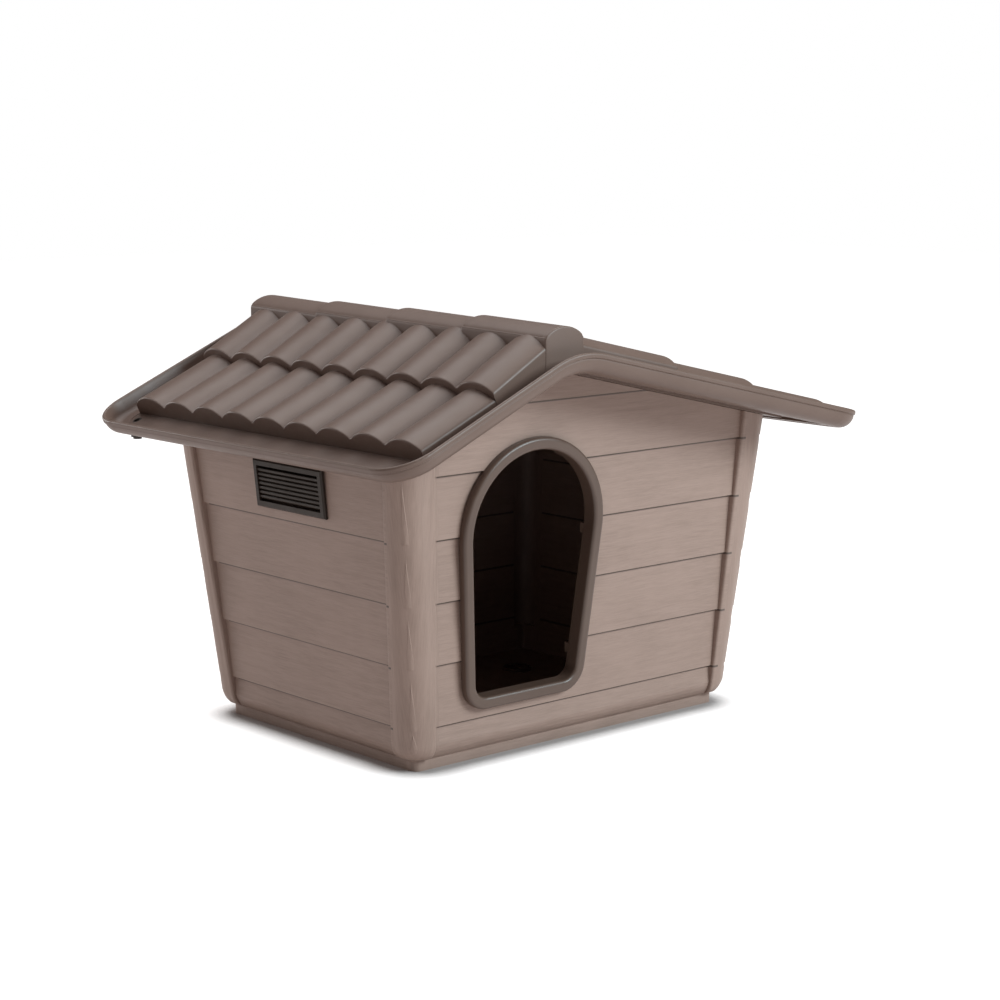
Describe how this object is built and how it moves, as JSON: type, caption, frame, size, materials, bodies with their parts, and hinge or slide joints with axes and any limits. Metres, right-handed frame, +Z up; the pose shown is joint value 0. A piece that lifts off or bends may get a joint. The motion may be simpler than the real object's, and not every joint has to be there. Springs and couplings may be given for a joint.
{
  "type": "plastic pet kennel",
  "caption": "Small moulded pet kennel with flared lapped-board walls, an off-centre tiled saddle roof that lifts off, an arched doorway and louvred side vents.",
  "frame": {"origin": "on the ground, at the middle of the roof's plan", "axes": "+X to the right along the front, +Y from the doorway to the rear, +Z up"},
  "size_m": [0.599, 0.486, 0.4044],
  "materials": {
    "wall_plastic": "taupe polypropylene with a fine moulded wood grain",
    "roof_plastic": "dark taupe polypropylene, satin",
    "surround_plastic": "dark taupe polypropylene, satin",
    "vent_plastic": "dark brown polypropylene, satin",
    "spout_plastic": "dark brown polypropylene, satin",
    "plug_plastic": "dark brown polypropylene, satin"
  },
  "bodies": {
    "tub": {"body_tub": "wall_plastic", "door_surround": "surround_plastic", "left_vent": "vent_plastic", "right_vent": "vent_plastic"},
    "roof": {"roof_shell": "roof_plastic", "left_spout": "spout_plastic", "right_spout": "spout_plastic"},
    "plug": {"floor_plug": "plug_plastic"}
  },
  "joints": [
    {"name": "roof_lift", "type": "slide", "parent": "tub", "child": "roof", "axis": [0, 0, 1], "range_m": [0, 0.12]},
    {"name": "plug_pull", "type": "slide", "parent": "tub", "child": "plug", "axis": [0, 0, 1], "range_m": [0, 0.02]}
  ]
}
